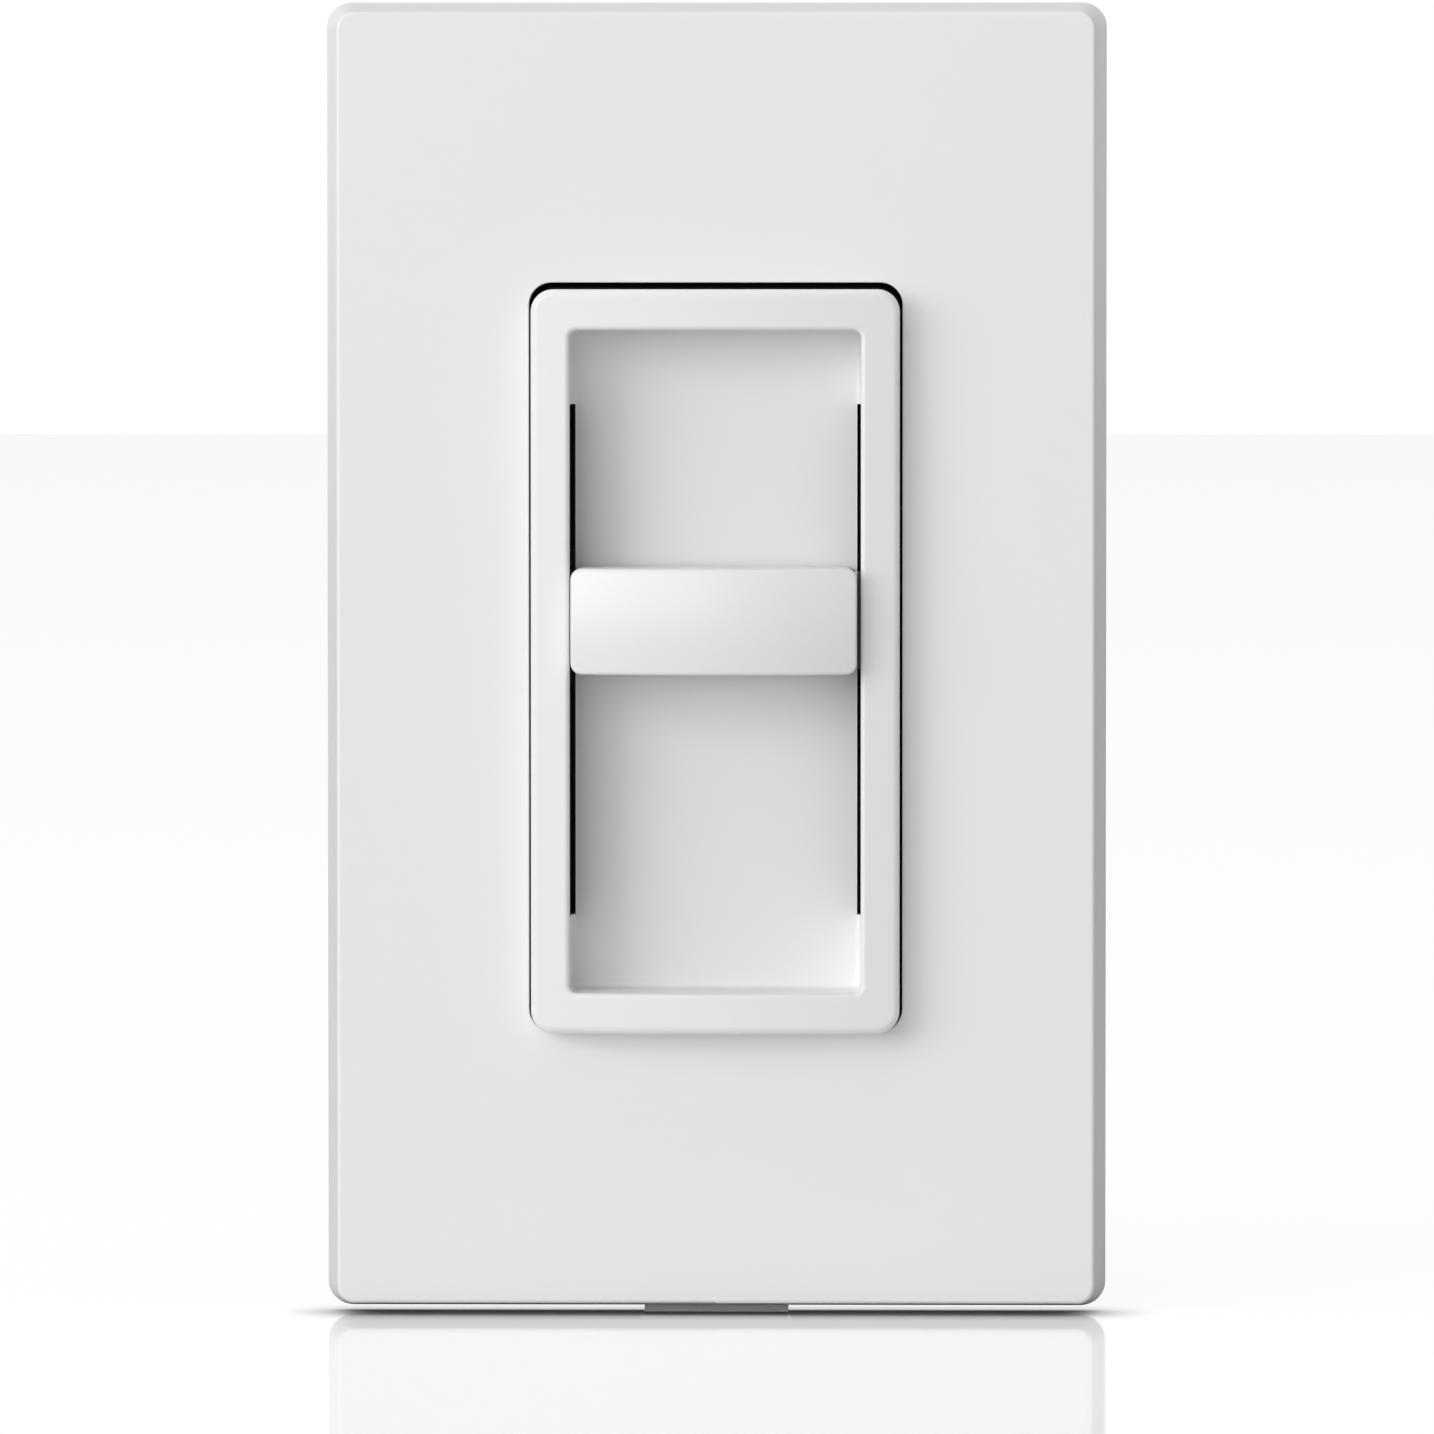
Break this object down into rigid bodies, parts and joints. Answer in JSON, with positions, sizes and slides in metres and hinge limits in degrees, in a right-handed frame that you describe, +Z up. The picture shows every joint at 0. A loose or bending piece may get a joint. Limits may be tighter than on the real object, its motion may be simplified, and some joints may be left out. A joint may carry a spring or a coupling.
{
  "type": "dimmer slide switch",
  "caption": "white wall dimmer with a wide slide bar in a deep framed recess, a screwless clip-on wallplate, a metal mounting strap and a rear housing",
  "frame": {"origin": "midway between the two mounting screws, on the wall's surface, which is the back of the strap and of the wallplate", "axes": "+X to the right as seen from the room, +Z up, -Y out of the wall into the room; the housing lies at +Y"},
  "size_m": [0.0698, 0.0475, 0.1173],
  "materials": {
    "white_cover": "semi-gloss moulded",
    "white_bracket": "satin moulded",
    "white_bezel": "semi-gloss moulded",
    "white_bar": "semi-gloss moulded",
    "natural_nylon": "satin moulded",
    "aluminium": "rolled sheet, stamped edges",
    "zinc_steel": "zinc plated",
    "white_screw": "painted head",
    "green_screw": "green chromate",
    "fibre": "vulcanised fibre",
    "housing": "fine moulded texture",
    "brass": "bright",
    "phenolic": "phenolic paper laminate",
    "tinned_steel": "tin plated",
    "black_epoxy": "moulded",
    "grey_silicone": "matt",
    "black_film": "matt",
    "yellow_core": "coated powder iron",
    "copper": "enamelled copper",
    "blue_film": "moulded box",
    "brown_film": "dipped",
    "glass_bead": "glass seal",
    "tan_resistor": "lacquered"
  },
  "bodies": {
    "base": {"wallplate_bracket": "white_bracket", "wallplate_screws": "white_screw", "bezel": "white_bezel", "light_seal": "black_film", "slot_liners": "black_film", "mounting_strap": "aluminium", "mounting_screws": "zinc_steel", "screw_retainers": "fibre", "ground_screw": "green_screw", "rear_housing": "housing", "housing_screws": "zinc_steel", "line_terminal": "brass", "load_terminal": "brass", "terminal_screws": "brass", "circuit_board": "phenolic", "potentiometer_case": "tinned_steel", "potentiometer_track": "phenolic", "line_rail": "brass", "load_rail": "brass", "triac": "black_epoxy", "insulating_pad": "grey_silicone", "triac_rivet": "aluminium", "choke_core": "yellow_core", "choke_winding": "copper", "interference_capacitor": "blue_film", "timing_capacitor": "brown_film", "diac": "glass_bead", "resistors": "tan_resistor"},
    "slider": {"slide_bar": "white_bar", "slide_carrier": "natural_nylon", "potentiometer_lever": "black_epoxy", "potentiometer_wiper": "brass", "bridging_contact": "brass"},
    "cover": {"wallplate_cover": "white_cover"}
  },
  "joints": [
    {"name": "dim_slide", "type": "slide", "parent": "base", "child": "slider", "axis": [0, 0, 1], "range_m": [-0.0218, 0.0146]},
    {"name": "cover_pull", "type": "slide", "parent": "base", "child": "cover", "axis": [0, -1, 0], "range_m": [0, 0.02]}
  ]
}
